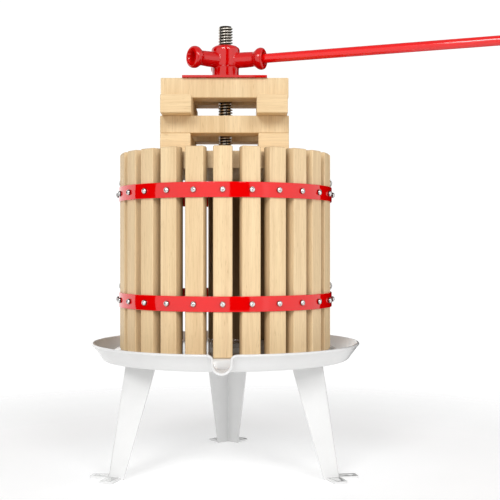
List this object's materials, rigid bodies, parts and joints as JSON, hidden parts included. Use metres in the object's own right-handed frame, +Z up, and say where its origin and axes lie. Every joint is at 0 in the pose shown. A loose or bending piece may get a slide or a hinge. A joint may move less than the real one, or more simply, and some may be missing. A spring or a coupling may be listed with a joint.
{
  "type": "basket wine press",
  "caption": "Hand screw press with a slatted wooden basket, an enamelled tray with a spout on splayed legs, wooden pressure blocks and a red lever head.",
  "frame": {"origin": "on the spindle axis at the level of the feet's undersides", "axes": "+Z up along the spindle; -Y is the front, towards the spout; +X to the right"},
  "size_m": [0.6369, 0.4046, 0.6255],
  "materials": {
    "beech_wood": "planed, oiled",
    "red_paint": "gloss red enamel",
    "white_enamel": "gloss white enamel",
    "spindle_steel": "rolled thread, oiled",
    "zinc_steel": "bright zinc plate"
  },
  "bodies": {
    "base": {"tray": "white_enamel", "front_left_leg": "white_enamel", "front_right_leg": "white_enamel", "rear_leg": "white_enamel", "leg_bolts": "zinc_steel", "leg_washers": "zinc_steel", "leg_nuts": "zinc_steel", "spindle": "spindle_steel", "spindle_collar": "spindle_steel", "spindle_washer": "zinc_steel", "spindle_nut": "zinc_steel"},
    "basket": {"slat_01": "beech_wood", "slat_02": "beech_wood", "slat_03": "beech_wood", "slat_04": "beech_wood", "slat_05": "beech_wood", "slat_06": "beech_wood", "slat_07": "beech_wood", "slat_08": "beech_wood", "slat_09": "beech_wood", "slat_10": "beech_wood", "slat_11": "beech_wood", "slat_12": "beech_wood", "slat_13": "beech_wood", "slat_14": "beech_wood", "slat_15": "beech_wood", "slat_16": "beech_wood", "slat_17": "beech_wood", "slat_18": "beech_wood", "slat_19": "beech_wood", "slat_20": "beech_wood", "slat_21": "beech_wood", "slat_22": "beech_wood", "slat_23": "beech_wood", "slat_24": "beech_wood", "slat_25": "beech_wood", "upper_hoop_front": "red_paint", "upper_hoop_rear": "red_paint", "lower_hoop_front": "red_paint", "lower_hoop_rear": "red_paint", "front_slat_screws": "zinc_steel", "rear_slat_screws": "zinc_steel"},
    "press_stack": {"thrust_plate": "red_paint", "top_beam_front": "beech_wood", "top_beam_rear": "beech_wood", "upper_block_left": "beech_wood", "upper_block_right": "beech_wood", "middle_beam_front": "beech_wood", "middle_beam_rear": "beech_wood", "lower_block_left": "beech_wood", "lower_block_right": "beech_wood", "press_board_front": "beech_wood", "press_board_rear": "beech_wood"},
    "press_head_body": {"press_head": "red_paint"},
    "lever": {"lever_bar": "red_paint"},
    "upper_left_pin_body": {"upper_left_pin": "zinc_steel"},
    "upper_right_pin_body": {"upper_right_pin": "zinc_steel"},
    "lower_left_pin_body": {"lower_left_pin": "zinc_steel"},
    "lower_right_pin_body": {"lower_right_pin": "zinc_steel"}
  },
  "joints": [
    {"name": "press_travel", "type": "slide", "parent": "base", "child": "press_stack", "axis": [0, 0, 1], "range_m": [-0.0901, 0.0201]},
    {"name": "head_turn", "type": "hinge", "parent": "press_stack", "child": "press_head_body", "pos_m": [0, 0, 0.5765], "axis": [0, 0, 1], "range_deg": [-8100, 1800]},
    {"name": "lever_slide", "type": "slide", "parent": "press_head_body", "child": "lever", "axis": [0.9272, -0.3746, 0], "range_m": [0, 0.045]},
    {"name": "basket_lift", "type": "slide", "parent": "base", "child": "basket", "axis": [0, 0, 1], "range_m": [0, 0.03]},
    {"name": "upper_left_pin_lift", "type": "slide", "parent": "basket", "child": "upper_left_pin_body", "axis": [0, 0, 1], "range_m": [0, 0.028]},
    {"name": "upper_right_pin_lift", "type": "slide", "parent": "basket", "child": "upper_right_pin_body", "axis": [0, 0, 1], "range_m": [0, 0.028]},
    {"name": "lower_left_pin_lift", "type": "slide", "parent": "basket", "child": "lower_left_pin_body", "axis": [0, 0, 1], "range_m": [0, 0.028]},
    {"name": "lower_right_pin_lift", "type": "slide", "parent": "basket", "child": "lower_right_pin_body", "axis": [0, 0, 1], "range_m": [0, 0.028]}
  ],
  "couplings": [
    {"joint": "press_travel", "follows": "head_turn", "m_per_rad": 0.00063662}
  ]
}
